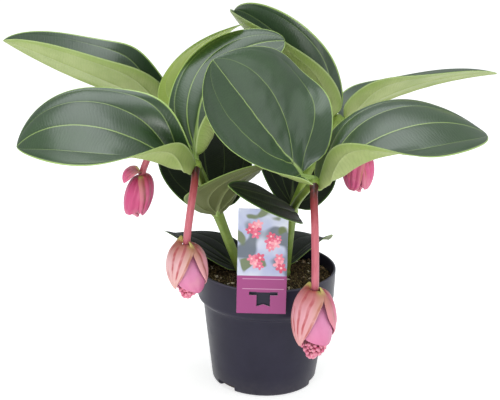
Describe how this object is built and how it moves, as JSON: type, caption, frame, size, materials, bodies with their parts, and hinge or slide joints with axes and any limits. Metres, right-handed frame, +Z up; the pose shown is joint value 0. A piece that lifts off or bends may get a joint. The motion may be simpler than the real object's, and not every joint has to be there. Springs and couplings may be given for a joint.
{
  "type": "potted medinilla plant",
  "caption": "Potted medinilla: broad five-veined leaves in opposite pairs on angled stems, hanging rosy blooms with bracts, in a round nursery pot with a hook tag.",
  "frame": {"origin": "middle of the pot's flat underside", "axes": "+Z up along the pot's axis; -Y is the front, where the tag hangs; +X is to the right seen from the front"},
  "size_m": [0.6104, 0.3986, 0.4469],
  "materials": {
    "pot_plastic": "satin slate purple nursery plastic",
    "soil": "rough damp brown peat with pale crumbs",
    "label_card": "glossy printed card, magenta foot and pale lilac face",
    "stem": "fresh green four-angled stem",
    "leaf": "leathery satin dark green, pale veins and margin, yellow-green below",
    "peduncle": "rosy red stalk, brown at its foot",
    "bract_outer": "soft cream pink with reddish stripes",
    "bract_inner": "smooth deeper pink",
    "bud": "small smooth pink ball buds"
  },
  "bodies": {
    "root": {"bract_inner_back_left": "bract_inner", "bract_inner_back_right": "bract_inner", "bract_inner_front_left": "bract_inner", "bract_inner_front_right": "bract_inner", "bract_outer_back_left_1": "bract_outer", "bract_outer_back_left_2": "bract_outer", "bract_outer_back_right_1": "bract_outer", "bract_outer_back_right_2": "bract_outer", "bract_outer_front_left_1": "bract_outer", "bract_outer_front_left_2": "bract_outer", "bract_outer_front_right_1": "bract_outer", "bract_outer_front_right_2": "bract_outer", "buds_back_left": "bud", "buds_back_right": "bud", "buds_front_left": "bud", "buds_front_right": "bud", "label": "label_card", "leaf_1": "leaf", "leaf_10": "leaf", "leaf_11": "leaf", "leaf_12": "leaf", "leaf_13": "leaf", "leaf_14": "leaf", "leaf_2": "leaf", "leaf_3": "leaf", "leaf_4": "leaf", "leaf_5": "leaf", "leaf_6": "leaf", "leaf_7": "leaf", "leaf_8": "leaf", "leaf_9": "leaf", "peduncle_back_left": "peduncle", "peduncle_back_right": "peduncle", "peduncle_front_left": "peduncle", "peduncle_front_right": "peduncle", "pot": "pot_plastic", "soil": "soil", "stem_left": "stem", "stem_right": "stem"}
  },
  "joints": []
}
